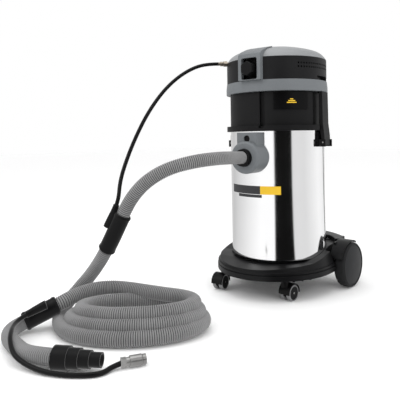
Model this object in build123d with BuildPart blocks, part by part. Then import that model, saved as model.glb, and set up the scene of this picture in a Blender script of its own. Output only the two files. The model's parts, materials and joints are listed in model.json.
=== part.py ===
"""Wet and dry dust extractor on a trolley, with a corrugated suction hose and a compressed-air hose.

Millimetres, +Z up. The tank's axis is the Z axis, the floor is Z = 0, and the trolley's nose faces -Y.
The tank and the head are drawn with the hose port facing -Y, and are turned a little as they are saved.
"""
import math
import os

from build123d import *

# Driving dimensions
TANK_TURN = 5.0  # degrees by which the tank and the head stand turned on the trolley
TANK_R, TANK_WALL = 163.0, 1.5
TANK_BOTTOM, TANK_TOP = 104.0, 545.0
TANK_CORNER = 14.0
RIM_R, RIM_H = 165.5, 6.0

SKIRT_R, SKIRT_BOTTOM, SKIRT_TOP = 175.5, 536.0, 554.0
SHELL = 3.0
HOUSING_R, HOUSING_TOP = 162.5, 665.0
BAND_R, BAND_TOP = 176.0, 702.0
COVER_R, COVER_TOP = 173.0, 776.0
DOME_TOP = 829.5

PORT_Z, PORT_FACE, PORT_R = 452.0, 226.0, 52.0
PORT_BORE_R = 27.0
PORT_SCREWS = [(x, PORT_Z + z) for x in (-31, 31) for z in (-31, 31)]
PORT_SCREW_R = 2.0
PLATE_HALF, PLATE_TOP, PLATE_FACE = 36.0, 532.0, 208.0

AXLE_Y, AXLE_Z, AXLE_R = 117.0, 75.0, 6.0
WHEEL_R, WHEEL_IN, WHEEL_OUT = 75.0, 186.0, 226.0
RUN = 0.05  # radial running clearance

DECK_FRONT, DECK_REAR, DECK_UNDER = 98.0, 143.0, 68.0
FRONT_R = 236.0
ARM_X, ARM_END_Y, TAIL_X, TAIL_Y = 200.0, 38.0, 180.0, 176.0

CASTER_R, CASTER_TRAIL, STEM_R = 25.0, 24.0, 5.0
CASTER_X, CASTER_Y = 121.0, -159.0

LATCH_PIN_R, LATCH_PIN_Z, LATCH_PIN_X = 2.5, 496.0, 178.0
LATCH_HALF = 29.0
LATCH_AZ = 93.0  # each latch sits a little behind the tank's widest point

HOSE_R, AIR_R = 20.0, 6.0

os.makedirs("parts", exist_ok=True)


def save(part, name, turn=0.0):
    """Turn a finished piece about the tank's axis, label it and write its STEP file."""
    part = part.rotate(Axis.Z, turn)
    part.label = name
    export_step(part, f"parts/{name}.step")


def around(radius, azimuth, z):
    """A point at an azimuth measured from the front (-Y) towards +X."""
    a = math.radians(azimuth)
    return Vector(radius * math.sin(a), -radius * math.cos(a), z)


def facing(radius, azimuth, z):
    """A plane on the tank's side at that azimuth, with its normal pointing outwards."""
    out = around(1, azimuth, 0)
    return Plane(origin=around(radius, azimuth, z), x_dir=Vector(-out.Y, out.X, 0), z_dir=out)


def sector(inner, outer, start, end):
    """A flat ring sector between two azimuths, to be added to a horizontal sketch."""
    middle = (start + end) / 2
    with BuildSketch() as flat:
        with BuildLine():
            ThreePointArc(around(outer, start, 0), around(outer, middle, 0), around(outer, end, 0))
            ThreePointArc(around(inner, start, 0), around(inner, middle, 0), around(inner, end, 0))
            Line(around(inner, start, 0), around(outer, start, 0))
            Line(around(inner, end, 0), around(outer, end, 0))
        make_face()
    return flat.sketch


# ---------------------------------------------------------------- tank
with BuildPart() as tank:
    with BuildSketch(Plane.XZ):
        with BuildLine():
            Polyline(
                (0, TANK_BOTTOM),
                (TANK_R - TANK_CORNER, TANK_BOTTOM),
                (TANK_R, TANK_BOTTOM + TANK_CORNER),
                (TANK_R, TANK_TOP - RIM_H),
                (RIM_R, TANK_TOP - RIM_H + 1.5),
                (RIM_R, TANK_TOP - 1),
                (RIM_R - 1, TANK_TOP),
                (TANK_R - TANK_WALL, TANK_TOP),
                (TANK_R - TANK_WALL, TANK_BOTTOM + TANK_CORNER),
                (TANK_R - TANK_CORNER - 0.6, TANK_BOTTOM + TANK_WALL),
                (0, TANK_BOTTOM + TANK_WALL),
                close=True,
            )
        make_face()
    revolve(axis=Axis.Z)
    with BuildSketch(Plane.XZ.offset(TANK_R - 20)):
        with Locations((0, PORT_Z)):
            Circle(PORT_BORE_R + 1)
        with Locations(*PORT_SCREWS):
            Circle(PORT_SCREW_R)
    extrude(amount=40, mode=Mode.SUBTRACT)
save(tank.part, "tank", TANK_TURN)

# ---------------------------------------------------------------- trolley
GROOVE_LOW, GROOVE_HIGH, GROOVE = 84.0, 94.0, 2.0
SOCKET_R, SOCKET_FLOOR = TANK_R + 1.0, TANK_BOTTOM
PLINTH_H = 100.0


def trolley_outline(inset):
    """The trolley's outline: an oval nose, straight flanks and a narrower tail between the wheels."""
    front, arm, tail = FRONT_R - inset, ARM_X - inset, TAIL_X - inset
    nose_x, nose_y = arm / 2, -front * math.sin(math.radians(60))
    with BuildSketch() as outline:
        with BuildLine():
            nose = ThreePointArc((-nose_x, nose_y), (0, -front), (nose_x, nose_y))
            TangentArc(nose @ 1, (arm, 0), tangent=nose % 1)
            TangentArc(nose @ 0, (-arm, 0), tangent=(nose % 0) * -1)
            Polyline(
                (arm, 0), (arm, ARM_END_Y - inset), (tail, ARM_END_Y - inset), (tail, TAIL_Y - inset),
                (-tail, TAIL_Y - inset), (-tail, ARM_END_Y - inset), (-arm, ARM_END_Y - inset), (-arm, 0),
            )
        make_face()
    return outline.sketch


with BuildPart() as trolley:
    with BuildSketch(Plane.XY.offset(DECK_UNDER)):
        add(trolley_outline(0))
    extrude(amount=GROOVE_LOW - DECK_UNDER)
    with BuildSketch(Plane.XY.offset(GROOVE_LOW)):
        add(trolley_outline(3.5))
    extrude(amount=GROOVE)
    with BuildSketch(Plane.XY.offset(GROOVE_LOW + GROOVE)):
        add(trolley_outline(1.5))
    extrude(amount=GROOVE_HIGH - GROOVE_LOW - GROOVE)
    with BuildSketch(Plane.XY.offset(GROOVE_HIGH)):
        add(trolley_outline(6))
    extrude(amount=DECK_REAR - GROOVE_HIGH, taper=14)
    # The deck slopes up from the front to the wheels.
    with BuildSketch(Plane.YZ.offset(-250)):
        with BuildLine():
            Polyline(
                (-FRONT_R - 10, DECK_FRONT),
                (-150, DECK_FRONT + 10),
                (-80, DECK_FRONT + 14),
                (0, DECK_REAR - 16),
                (60, DECK_REAR - 2),
                (80, DECK_REAR),
                (80, DECK_REAR + 20),
                (-FRONT_R - 10, DECK_REAR + 20),
                close=True,
            )
        make_face()
    extrude(amount=500, mode=Mode.SUBTRACT)
    # Round seat for the tank.
    with BuildSketch(Plane.XY.offset(SOCKET_FLOOR)):
        Circle(SOCKET_R)
    extrude(amount=60, mode=Mode.SUBTRACT)
    # Hollow underside with cross ribs left standing.
    with BuildSketch(Plane.XY.offset(DECK_UNDER - 1)):
        Circle(150)
        Rectangle(12, 320, mode=Mode.SUBTRACT)
        Rectangle(320, 12, mode=Mode.SUBTRACT)
        with Locations((0, AXLE_Y)):
            Rectangle(320, 30, mode=Mode.SUBTRACT)
        with Locations((-CASTER_X, CASTER_Y), (CASTER_X, CASTER_Y)):
            Circle(20, mode=Mode.SUBTRACT)
    extrude(amount=PLINTH_H - DECK_UNDER, mode=Mode.SUBTRACT)
    # Bore for the axle, and the two stem sockets.
    with BuildSketch(Plane.YZ.offset(-250)):
        with Locations((AXLE_Y, AXLE_Z)):
            Circle(AXLE_R)
    extrude(amount=500, mode=Mode.SUBTRACT)
    with BuildSketch(Plane.XY.offset(DECK_UNDER)):
        with Locations((-CASTER_X, CASTER_Y), (CASTER_X, CASTER_Y)):
            Circle(STEM_R + RUN)
    extrude(amount=28, mode=Mode.SUBTRACT)
    # Small stiffening nibs under the front edge.
    with BuildSketch(Plane.XY.offset(DECK_UNDER - 5)):
        for azimuth in (-26, -14, 50, 58, 66):
            way = around(1, azimuth, 0)
            with Locations((way.X * (ARM_X - 10), way.Y * (FRONT_R - 10))):
                Circle(3.5)
    extrude(amount=6)
save(trolley.part, "trolley")

# ---------------------------------------------------------------- rear bumper bar and wheel arches
BAR_BOTTOM, BAR_TOP, BAR_IN = 143.0, 158.0, 196.0
ARCH_IN, ARCH_OUT = WHEEL_R + 3, WHEEL_R + 8

with BuildPart() as bumper:
    with BuildSketch(Plane.XY.offset(BAR_BOTTOM)):
        add(sector(BAR_IN, FRONT_R, 125, 235))
        with Locations((0, TAIL_Y - 8)):
            Rectangle(2 * TAIL_X - 30, 20)
        Circle(TANK_R + 1.5, mode=Mode.SUBTRACT)
        Rectangle(2 * (TAIL_X - 6.3), 600, mode=Mode.INTERSECT)
    extrude(amount=BAR_TOP - BAR_BOTTOM - 1)
    fillet(bumper.edges().group_by(Axis.Z)[-1], 3)
save(bumper.part, "rear_bumper")

with BuildPart() as arches:
    for side in (-1, 1):
        with BuildSketch(Plane.YZ.offset(side * (TAIL_X - 6))):
            with Locations((AXLE_Y, AXLE_Z)):
                Circle(ARCH_OUT)
                Circle(ARCH_IN, mode=Mode.SUBTRACT)
                with Locations((0, -ARCH_OUT - 5)):
                    Rectangle(3 * ARCH_OUT, 2 * ARCH_OUT + 70, mode=Mode.SUBTRACT)
                with Locations((ARCH_OUT, 0)):
                    Rectangle(1.1 * ARCH_OUT, 2 * ARCH_OUT, mode=Mode.SUBTRACT)
        extrude(amount=side * (WHEEL_OUT - TAIL_X - 2))
        # Inner cheek that stands on the trolley's tail.
        with BuildSketch(Plane.YZ.offset(side * (TAIL_X - 6))):
            with Locations((AXLE_Y - 15, BAR_BOTTOM + 5)):
                Rectangle(60, 10)
            with Locations((AXLE_Y, AXLE_Z)):
                Circle(ARCH_IN, mode=Mode.SUBTRACT)
        extrude(amount=side * 6)
save(arches.part, "wheel_arches")

# ---------------------------------------------------------------- axle and rear wheels
AXLE_END = WHEEL_OUT - 6
with BuildPart() as axle:
    with BuildSketch(Plane.YZ.offset(-AXLE_END)):
        with Locations((AXLE_Y, AXLE_Z)):
            Circle(AXLE_R)
    extrude(amount=2 * AXLE_END)
save(axle.part, "axle")

RIM_OUT, TYRE_IN = 58.0, 58.0
CAP_R, CAP_BULGE = 68.0, 5.0

for side, name in ((-1, "left"), (1, "right")):
    hub_axis = Axis((0, AXLE_Y, AXLE_Z), (1, 0, 0))
    inner, outer = side * WHEEL_IN, side * WHEEL_OUT
    middle = (inner + outer) / 2
    profile = Plane(origin=(0, AXLE_Y, AXLE_Z), x_dir=(1, 0, 0), z_dir=(0, -1, 0))
    with BuildPart() as tyre:
        with BuildSketch(profile):
            with BuildLine():
                Polyline(
                    (inner, TYRE_IN), (inner, WHEEL_R - 7), (inner + side * 5, WHEEL_R - 1),
                    (inner + side * 9, WHEEL_R), (outer - side * 9, WHEEL_R),
                    (outer - side * 4, WHEEL_R - 1), (outer, WHEEL_R - 5),
                    (outer, WHEEL_R - 8), (outer - side * 4, CAP_R - 1), (outer - side * 4, TYRE_IN),
                    close=True,
                )
            make_face()
        revolve(axis=hub_axis)
    save(tyre.part, f"tyre_{name}")
    with BuildPart() as rim:
        with BuildSketch(profile):
            with BuildLine():
                Polyline(
                    (inner + side * 2, AXLE_R + RUN), (inner + side * 2, 14), (middle - side * 3, 16),
                    (middle - side * 3, 50), (inner + side * 4, 52), (inner + side * 4, RIM_OUT),
                    (outer - side * 8, RIM_OUT), (outer - side * 8, 52), (middle + side * 3, 50),
                    (middle + side * 3, 14), (outer - side * 10, 14), (outer - side * 10, AXLE_R + RUN),
                    close=True,
                )
            make_face()
        revolve(axis=hub_axis)
    save(rim.part, f"rim_{name}")
    with BuildPart() as cap:
        with BuildSketch(profile):
            with BuildLine():
                skin = ThreePointArc(
                    (outer + side * CAP_BULGE, 0), (outer + side * 0.7 * CAP_BULGE, CAP_R / 2),
                    (outer - side * 1.5, CAP_R - 2),
                )
                Polyline(
                    skin @ 1, (outer - side * 4, CAP_R - 2), (outer - side * 4, 54),
                    (outer - side * 2, 50), (outer + side * 1, 0), skin @ 0,
                )
            make_face()
        revolve(axis=hub_axis)
    save(cap.part, f"hubcap_{name}")

# ---------------------------------------------------------------- front casters
HOOD_R, HOOD_WALL = CASTER_R + 1.5, 3.0
TREAD_W, WEB = 15.0, 8.0
CASTER_AXLE_R = 3.0
SWIVEL = {"left": (-1, -82), "right": (1, 86)}  # the way each caster trails, in degrees from +X

for name, (side, heading) in SWIVEL.items():
    stem = Vector(side * CASTER_X, CASTER_Y, 0)
    trail = Vector(math.cos(math.radians(heading)), math.sin(math.radians(heading)), 0)
    hub = stem + trail * CASTER_TRAIL + Vector(0, 0, CASTER_R)
    across = Plane(origin=hub, x_dir=trail, z_dir=trail.cross(Vector(0, 0, 1)))
    half = WEB / 2 + TREAD_W + 1.0
    with BuildPart() as caster_body:
        # Hood over both wheels, open at the bottom.
        with BuildSketch(across.offset(-half)):
            Circle(HOOD_R + HOOD_WALL)
            Circle(HOOD_R, mode=Mode.SUBTRACT)
            with Locations((0, -30)):
                Rectangle(80, 56, mode=Mode.SUBTRACT)
        extrude(amount=2 * half)
        # Web between the wheels.
        with BuildSketch(across.offset(-WEB / 2 + 0.5)):
            Circle(HOOD_R + 1)
            with Locations((0, -30)):
                Rectangle(80, 44, mode=Mode.SUBTRACT)
            Circle(9)
            Circle(CASTER_AXLE_R, mode=Mode.SUBTRACT)
        extrude(amount=WEB - 1)
        # Neck and stem of the swivel.
        with BuildSketch(Plane(origin=stem + Vector(0, 0, DECK_UNDER - 22))):
            Circle(11)
        extrude(amount=20)
        with BuildSketch(across.offset(-half)):
            Circle(HOOD_R, mode=Mode.ADD)
        extrude(amount=half - WEB / 2 + 0.5, mode=Mode.SUBTRACT)
        with BuildSketch(across.offset(half)):
            Circle(HOOD_R, mode=Mode.ADD)
        extrude(amount=-(half - WEB / 2 + 0.5), mode=Mode.SUBTRACT)
        with BuildSketch(Plane(origin=stem + Vector(0, 0, DECK_UNDER - 4))):
            Circle(STEM_R)
        extrude(amount=30)
    save(caster_body.part, f"caster_body_{name}")
    with BuildPart() as caster_axle:
        with BuildSketch(across.offset(-half + 1)):
            Circle(CASTER_AXLE_R)
        extrude(amount=2 * half - 2)
    save(caster_axle.part, f"caster_axle_{name}")
    with BuildPart() as caster_tyres:
        for offset in (-half + 1, WEB / 2 + 0.2):
            with BuildSketch(across.offset(offset)):
                Circle(CASTER_R)
                Circle(CASTER_R - 4, mode=Mode.SUBTRACT)
            extrude(amount=TREAD_W - 0.4)
        outer_edges = caster_tyres.edges().filter_by(GeomType.CIRCLE)
        fillet([e for e in outer_edges if e.radius > CASTER_R - 1], 2.5)
    save(caster_tyres.part, f"caster_tyres_{name}")
    with BuildPart() as caster_hubs:
        for offset in (-half + 2, WEB / 2 + 0.7):
            with BuildSketch(across.offset(offset)):
                Circle(CASTER_R - 4)
                Circle(CASTER_AXLE_R + RUN, mode=Mode.SUBTRACT)
            extrude(amount=TREAD_W - 2)
    save(caster_hubs.part, f"caster_hubs_{name}")

# ---------------------------------------------------------------- suction port
with BuildPart() as port:
    with BuildSketch(Plane.XZ.offset(TANK_R - 30)):
        with Locations((0, PORT_Z)):
            Circle(PORT_R)
    extrude(amount=PORT_FACE - TANK_R + 30)
    fillet(port.edges().filter_by(GeomType.CIRCLE).sort_by(Axis.Y)[0], 9)
    with BuildSketch(Plane.XZ.offset(TANK_R - 30)):
        with Locations((0, (PORT_Z + PLATE_TOP) / 2)):
            Rectangle(2 * PLATE_HALF, PLATE_TOP - PORT_Z)
    extrude(amount=PLATE_FACE - TANK_R + 30)
    with BuildSketch(Plane.XY.offset(PORT_Z - PORT_R - 1)):
        Circle(TANK_R + 0.2)
    extrude(amount=PLATE_TOP - PORT_Z + PORT_R + 2, mode=Mode.SUBTRACT)
    with BuildSketch(Plane.XZ.offset(TANK_R - 30)):
        with Locations((0, PORT_Z)):
            Circle(PORT_BORE_R)
    extrude(amount=120, mode=Mode.SUBTRACT)
    with BuildSketch(Plane.XZ.offset(TANK_R - 30)):
        with Locations(*PORT_SCREWS):
            Circle(PORT_SCREW_R)
    extrude(amount=50, mode=Mode.SUBTRACT)
    # Round recess of the release button.
    with BuildSketch(Plane.XZ.offset(PLATE_FACE - 16)):
        with Locations((0, 512)):
            Circle(11)
    extrude(amount=20, mode=Mode.SUBTRACT)
save(port.part, "port_housing", TANK_TURN)

BUTTON_Z, BUTTON_R, BUTTON_TRAVEL = 512.0, 10.5, 4.0
with BuildPart() as button:
    with BuildSketch(Plane.XZ.offset(PLATE_FACE - 16 + BUTTON_TRAVEL + 0.5)):
        with Locations((0, BUTTON_Z)):
            Circle(BUTTON_R)
    extrude(amount=7)
    chamfer(button.edges().filter_by(GeomType.CIRCLE).sort_by(Axis.Y)[0], 1)
save(button.part, "port_button", TANK_TURN)

with BuildPart() as sleeve:
    with BuildSketch(Plane.XZ.offset(TANK_R - 25)):
        with Locations((0, PORT_Z)):
            Circle(PORT_BORE_R - 0.1)
            Circle(PORT_BORE_R - 3, mode=Mode.SUBTRACT)
    extrude(amount=70)
save(sleeve.part, "port_sleeve", TANK_TURN)

with BuildPart() as port_nut:
    with BuildSketch(Plane.XZ.offset(TANK_R - 22)):
        with Locations((0, PORT_Z)):
            Circle(PORT_BORE_R + 9)
            Circle(PORT_BORE_R, mode=Mode.SUBTRACT)
    extrude(amount=14)
    with BuildSketch(Plane.XY.offset(PORT_Z - 60)):
        Circle(TANK_R + 30)
        Circle(TANK_R - TANK_WALL - 0.3, mode=Mode.SUBTRACT)
    extrude(amount=120, mode=Mode.SUBTRACT)
save(port_nut.part, "port_nut", TANK_TURN)

with BuildPart() as screws:
    with BuildSketch(Plane.XZ.offset(TANK_R - 10)):
        with Locations(*PORT_SCREWS):
            Circle(5)
    extrude(amount=4)
    with BuildSketch(Plane.XZ.offset(TANK_R - 7)):
        with Locations(*PORT_SCREWS):
            Circle(PORT_SCREW_R)
    extrude(amount=22)
save(screws.part, "port_screws", TANK_TURN)

# ---------------------------------------------------------------- latches
LATCH_IN, LATCH_OUT_TOP, LATCH_OUT_LOW = 168.0, 176.5, 182.0
LATCH_LOW, LATCH_HIGH = 487.0, 664.0
EAR_T = 3.0

for side, name in ((-1, "left"), (1, "right")):
    with BuildPart() as base:
        with BuildSketch(Plane.XY.offset(482)):
            add(sector(TANK_R + 0.2, TANK_R + 4.0, side * 90 - 13, side * 90 + 13))
        extrude(amount=48)
        # Ears that carry the pin, one on each side of the lever.
        for across_y in (-1, 1):
            near = LATCH_HALF + 1 if across_y < 0 else -LATCH_HALF - 1 - EAR_T
            with BuildSketch(Plane.XZ.offset(near)):
                with Locations((side * (TANK_R + LATCH_PIN_X + 5) / 2, 494)):
                    Rectangle(LATCH_PIN_X + 5 - TANK_R + 8, 24)
                with Locations((side * LATCH_PIN_X, LATCH_PIN_Z)):
                    Circle(LATCH_PIN_R, mode=Mode.SUBTRACT)
            extrude(amount=EAR_T)
        with BuildSketch(Plane.XY.offset(480)):
            Circle(TANK_R + 0.2)
        extrude(amount=60, mode=Mode.SUBTRACT)
    save(base.part, f"latch_base_{name}", TANK_TURN + side * (LATCH_AZ - 90))
    with BuildPart() as lever:
        with BuildSketch(Plane.XZ.offset(-LATCH_HALF + 1)):
            with BuildLine():
                Polyline(
                    (side * 172, 506), (side * 168, 535), (side * 166, LATCH_HIGH - 6),
                    (side * 169, LATCH_HIGH), (side * LATCH_OUT_TOP, LATCH_HIGH),
                    (side * (LATCH_OUT_TOP + 1), 560), (side * LATCH_OUT_LOW, 520),
                    (side * (LATCH_OUT_LOW + 1), LATCH_LOW), (side * 175, LATCH_LOW), close=True,
                )
            make_face()
            with Locations((side * LATCH_PIN_X, LATCH_PIN_Z)):
                Circle(LATCH_PIN_R + RUN, mode=Mode.SUBTRACT)
        extrude(amount=2 * LATCH_HALF - 2)
    save(lever.part, f"latch_lever_{name}", TANK_TURN + side * (LATCH_AZ - 90))

with BuildPart() as pins:
    for side in (-1, 1):
        with BuildPart(mode=Mode.PRIVATE) as pin:
            with BuildSketch(Plane.XZ.offset(-LATCH_HALF - 4)):
                with Locations((side * LATCH_PIN_X, LATCH_PIN_Z)):
                    Circle(LATCH_PIN_R)
            extrude(amount=2 * LATCH_HALF + 8)
        add(pin.part.rotate(Axis.Z, side * (LATCH_AZ - 90)))
save(pins.part, "latch_pins", TANK_TURN)

# ---------------------------------------------------------------- head: lower housing
CHANNEL_AZ, CHANNEL_W, CHANNEL_DEPTH = 11.0, 17.0, 12.0
FLAP_START, FLAP_END, FLAP_LOW, FLAP_HIGH = 24.0, 65.0, 605.0, 663.0
SOCKET_AZ, SOCKET_Z, SOCKET_CUP_R = 44.5, 634.0, 26.0
FLOOR_Z, FLOOR_T = 560.0, 4.0
THROAT_R = 45.0
POCKET_R, POCKET_HALF = 148.0, 19.0

with BuildPart() as housing:
    with BuildSketch(Plane.XY.offset(SKIRT_BOTTOM)):
        Circle(SKIRT_R)
        Circle(RIM_R + 1, mode=Mode.SUBTRACT)
    extrude(amount=SKIRT_TOP - SKIRT_BOTTOM)
    with BuildSketch(Plane.XY.offset(SKIRT_TOP - 2)):
        Circle(SKIRT_R)
        Circle(HOUSING_R - 5, mode=Mode.SUBTRACT)
    extrude(amount=2)
    with BuildSketch(Plane.XY.offset(SKIRT_TOP - 2)):
        Circle(HOUSING_R)
        Circle(HOUSING_R - SHELL, mode=Mode.SUBTRACT)
    extrude(amount=HOUSING_TOP - SKIRT_TOP + 2)
    with BuildSketch(Plane.XY.offset(FLOOR_Z)):
        Circle(HOUSING_R - 1)
        Circle(THROAT_R, mode=Mode.SUBTRACT)
    extrude(amount=FLOOR_T)
    # Pockets of the two latches, each closed behind by a wall.
    for side in (-1, 1):
        with BuildSketch(Plane.XY.offset(SKIRT_TOP)):
            start, end = side * LATCH_AZ - POCKET_HALF, side * LATCH_AZ + POCKET_HALF
            add(sector(POCKET_R - SHELL, HOUSING_R - 1, start - 1, end + 1))
        extrude(amount=HOUSING_TOP - SKIRT_TOP)
        with BuildSketch(Plane.XY.offset(SKIRT_TOP + 0.01)):
            add(sector(POCKET_R, SKIRT_R + 1, start, end))
        extrude(amount=HOUSING_TOP - SKIRT_TOP + 1, mode=Mode.SUBTRACT)
        with BuildSketch(Plane.XY.offset(SKIRT_BOTTOM - 1)):
            add(sector(RIM_R + 0.5, SKIRT_R + 1, side * LATCH_AZ - 13, side * LATCH_AZ + 13))
        extrude(amount=SKIRT_TOP - SKIRT_BOTTOM + 2, mode=Mode.SUBTRACT)
    # Upright channel beside the port.
    with BuildSketch(facing(HOUSING_R - CHANNEL_DEPTH - 2, CHANNEL_AZ, (SKIRT_TOP + HOUSING_TOP) / 2)):
        Rectangle(CHANNEL_W + 4, HOUSING_TOP - SKIRT_TOP)
    extrude(amount=CHANNEL_DEPTH)
    with BuildSketch(facing(HOUSING_R - CHANNEL_DEPTH, CHANNEL_AZ, (SKIRT_BOTTOM + HOUSING_TOP) / 2 + 5)):
        Rectangle(CHANNEL_W, HOUSING_TOP - SKIRT_TOP + 10)
    extrude(amount=30, mode=Mode.SUBTRACT)
    # Window for the socket.
    with BuildSketch(facing(HOUSING_R - 12, SOCKET_AZ, SOCKET_Z)):
        Circle(SOCKET_CUP_R + 0.2)
    extrude(amount=30, mode=Mode.SUBTRACT)
save(housing.part, "head_housing", TANK_TURN)

with BuildPart() as head_seal:
    with BuildSketch(Plane.XY.offset(TANK_TOP + 0.3)):
        Circle(RIM_R - 0.5)
        Circle(HOUSING_R - 4, mode=Mode.SUBTRACT)
    extrude(amount=SKIRT_TOP - 2 - TANK_TOP - 0.3)
save(head_seal.part, "head_seal", TANK_TURN)

# ---------------------------------------------------------------- head: socket and its flap
FLAP_R = HOUSING_R + 0.4
FLAP_T = 3.0
HINGE_R, HINGE_Z = 2.0, 660.0

with BuildPart() as flap:
    with BuildSketch(Plane.XY.offset(FLAP_LOW)):
        add(sector(FLAP_R, FLAP_R + FLAP_T, FLAP_START, FLAP_END))
    extrude(amount=FLAP_HIGH - 3 - FLAP_LOW)
    fillet(flap.edges().filter_by(Axis.Z).sort_by(SortBy.LENGTH)[-4:], 1)
save(flap.part, "socket_flap", TANK_TURN)

with BuildPart() as socket_cup:
    with BuildSketch(facing(HOUSING_R - 34, SOCKET_AZ, SOCKET_Z)):
        Circle(SOCKET_CUP_R)
    extrude(amount=29)
    with BuildSketch(facing(HOUSING_R - 30, SOCKET_AZ, SOCKET_Z)):
        Circle(SOCKET_CUP_R - 5)
    extrude(amount=29, mode=Mode.SUBTRACT)
    with BuildSketch(facing(HOUSING_R - 35, SOCKET_AZ, SOCKET_Z)):
        with Locations((-9.5, 0), (9.5, 0)):
            Circle(2.5)
    extrude(amount=8, mode=Mode.SUBTRACT)
save(socket_cup.part, "appliance_socket", TANK_TURN)

# ---------------------------------------------------------------- head: band, cover and dome
BAND_SPLIT = 684.0
GLAND_R, GLAND_Z = 9.0, 683.0
AIR_AZ, AIR_Z, STUB_R = -48.0, 775.0, 6.0
with BuildPart() as band:
    with BuildSketch(Plane.XZ):
        with BuildLine():
            Polyline(
                (158, HOUSING_TOP), (BAND_R - 1, HOUSING_TOP), (BAND_R, HOUSING_TOP + 2),
                (BAND_R, BAND_SPLIT), (COVER_R + 1, BAND_TOP), (158, BAND_TOP), close=True,
            )
        make_face()
    revolve(axis=Axis.Z)
    with BuildSketch(facing(BAND_R - 6, 180, GLAND_Z)):
        Circle(GLAND_R)
    extrude(amount=20, mode=Mode.SUBTRACT)
save(band.part, "head_band", TANK_TURN)

GRIP_START, GRIP_END, GRIP_DEPTH, GRIP_H = 78.0, 118.0, 20.0, 14.0
SLOTS, SLOT_START, SLOT_STEP = 17, 52.0, 3.4
SLOT_W, SLOT_H = 5.0, 5.5
SLOT_ROWS = (742.0, 754.0)
FRAME_HALF, FRAME_FACE, FRAME_TOP = 41.0, 187.0, 786.0

with BuildPart() as cover:
    with BuildSketch(Plane.XY.offset(BAND_TOP)):
        Circle(COVER_R)
        Circle(COVER_R - SHELL, mode=Mode.SUBTRACT)
    extrude(amount=COVER_TOP - BAND_TOP)
    # Carry grips: pockets with their own back wall, one on each side.
    for side in (-1, 1):
        ends = sorted((side * GRIP_START, side * GRIP_END))
        with BuildSketch(Plane.XY.offset(BAND_TOP)):
            add(sector(COVER_R - GRIP_DEPTH - 3, COVER_R - 1, ends[0] - 1, ends[1] + 1))
        extrude(amount=GRIP_H + 6)
        with BuildSketch(Plane.XY.offset(BAND_TOP - 1)):
            add(sector(COVER_R - GRIP_DEPTH, COVER_R + 2, ends[0], ends[1]))
        extrude(amount=GRIP_H + 1, mode=Mode.SUBTRACT)
        # Two rows of vent slots.
        for row in SLOT_ROWS:
            for k in range(SLOTS):
                with BuildSketch(facing(COVER_R - 8, side * (SLOT_START + k * SLOT_STEP), row)):
                    Rectangle(SLOT_W, SLOT_H)
                extrude(amount=12, mode=Mode.SUBTRACT)
    # Opening behind the selector.
    with BuildSketch(Plane.XZ.offset(COVER_R - 25)):
        with Locations((0, (BAND_TOP + FRAME_TOP) / 2)):
            Rectangle(2 * FRAME_HALF - 14, FRAME_TOP - BAND_TOP)
    extrude(amount=40, mode=Mode.SUBTRACT)
    with BuildSketch(facing(COVER_R - 20, AIR_AZ, AIR_Z)):
        Circle(STUB_R + 0.2)
    extrude(amount=40, mode=Mode.SUBTRACT)
save(cover.part, "head_cover", TANK_TURN)

SHOULDER_R, SHOULDER_Z = 140.0, 806.0  # where the dome's shallow crown meets its shoulder
CROWN_R = (SHOULDER_R**2 + (DOME_TOP - SHOULDER_Z) ** 2) / (2 * (DOME_TOP - SHOULDER_Z))


def dome_solid(inset):
    """The space under the dome's surface, drawn in by the inset."""
    with BuildPart() as solid:
        with BuildSketch(Plane.XZ):
            with BuildLine():
                joint = (SHOULDER_R - 0.36 * inset, SHOULDER_Z - 0.93 * inset)
                half = (joint[0] / 2, DOME_TOP - inset - (joint[0] / 2) ** 2 / (2 * CROWN_R))
                crown = ThreePointArc((0, DOME_TOP - inset), half, joint)
                shoulder = TangentArc(joint, (COVER_R - inset, COVER_TOP), tangent=crown % 1)
                Line(shoulder @ 1, (0, COVER_TOP))
                Line((0, COVER_TOP), crown @ 0)
            make_face()
        revolve(axis=Axis.Z)
    return solid.part


dome_outside, dome_inside, dome_clear = dome_solid(0), dome_solid(SHELL), dome_solid(-0.3)
with BuildPart() as dome:
    add(dome_outside)
    add(dome_inside, mode=Mode.SUBTRACT)
    with BuildSketch(facing(COVER_R - 30, AIR_AZ, AIR_Z)):
        Circle(STUB_R + 0.2)
    extrude(amount=40, mode=Mode.SUBTRACT)
save(dome.part, "head_dome", TANK_TURN)

with BuildPart() as frame:
    with BuildSketch(Plane.XZ.offset(COVER_R - 30)):
        with Locations((0, (BAND_TOP + FRAME_TOP) / 2)):
            RectangleRounded(2 * FRAME_HALF, FRAME_TOP - BAND_TOP, 8)
        with Locations((0, BAND_TOP + 6)):
            Rectangle(2 * FRAME_HALF, 12)
    extrude(amount=FRAME_FACE - COVER_R + 30)
    with BuildSketch(Plane.XZ.offset(COVER_R - 20)):
        with Locations((0, (BAND_TOP + FRAME_TOP) / 2 - 5)):
            RectangleRounded(2 * FRAME_HALF - 24, FRAME_TOP - BAND_TOP - 14, 6)
    extrude(amount=60, mode=Mode.SUBTRACT)
    # Brow that runs back over the dome's edge.
    with BuildSketch(Plane.YZ.offset(-FRAME_HALF)):
        with BuildLine():
            brow = Spline(
                (-FRAME_FACE, COVER_TOP), (-FRAME_FACE + 6, FRAME_TOP + 4), (-COVER_R + 22, FRAME_TOP + 18),
                (-COVER_R + 70, FRAME_TOP + 33), tangents=((0, 1), (1, 0.25)),
            )
            Line(brow @ 1, (-COVER_R + 70, COVER_TOP))
            Line((-COVER_R + 70, COVER_TOP), brow @ 0)
        make_face()
    extrude(amount=2 * FRAME_HALF)
    # Seats itself on the round cover and over the dome.
    with BuildSketch(Plane.XY.offset(BAND_TOP)):
        Circle(COVER_R + 0.2)
    extrude(amount=COVER_TOP - BAND_TOP + 0.2, mode=Mode.SUBTRACT)
    add(dome_clear, mode=Mode.SUBTRACT)
save(frame.part, "front_frame", TANK_TURN)

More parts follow.
